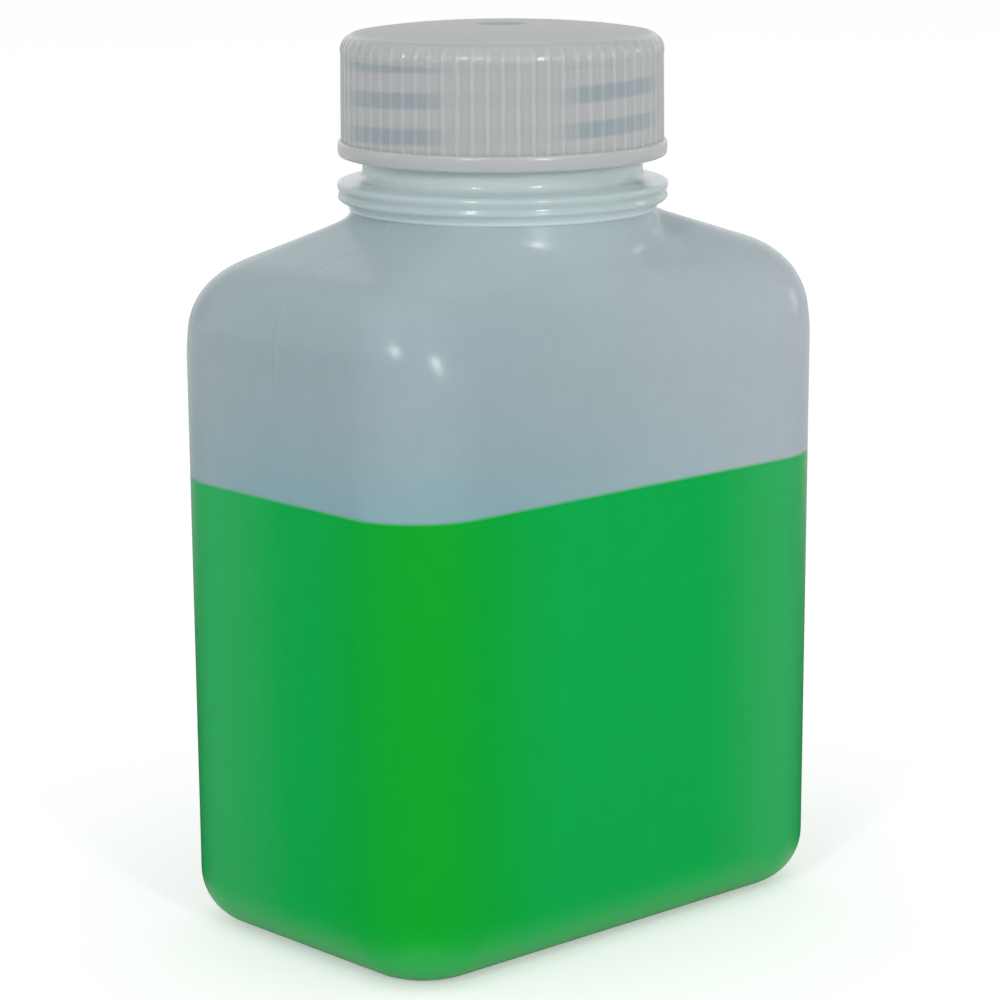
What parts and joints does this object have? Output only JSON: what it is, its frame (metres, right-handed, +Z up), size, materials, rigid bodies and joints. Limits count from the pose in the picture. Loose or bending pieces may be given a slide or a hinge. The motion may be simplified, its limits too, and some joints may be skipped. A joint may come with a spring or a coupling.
{
  "type": "oblong media bottle with screw cap",
  "caption": "Oblong blow-moulded plastic media bottle with a round threaded neck, a ribbed screw cap with a seal disc, and liquid inside.",
  "frame": {"origin": "middle of the standing plane, on the neck's axis", "axes": "+Z up along the neck's axis, +X along the body's width between the short ends, +Y along its depth between the long sides"},
  "size_m": [0.0728, 0.048, 0.1115],
  "materials": {
    "bottle": "natural high-density polyethylene, milky and translucent, satin",
    "contents": "clear green liquid",
    "seal_disc": "foamed polyethylene, matt",
    "cap": "natural polypropylene, translucent grey, satin"
  },
  "bodies": {
    "bottle": {"bottle": "bottle", "contents": "contents"},
    "seal_disc": {"seal_disc": "seal_disc"},
    "cap": {"cap": "cap"}
  },
  "joints": [
    {"name": "cap_lift", "type": "slide", "parent": "bottle", "child": "seal_disc", "axis": [0, 0, 1], "range_m": [0, 0.0074]},
    {"name": "cap_turn", "type": "hinge", "parent": "seal_disc", "child": "cap", "pos_m": [0, 0, 0], "axis": [0, 0, 1], "range_deg": [0, 630]}
  ],
  "couplings": [
    {"joint": "cap_turn", "follows": "cap_lift", "rad_per_m": 1484.3}
  ]
}
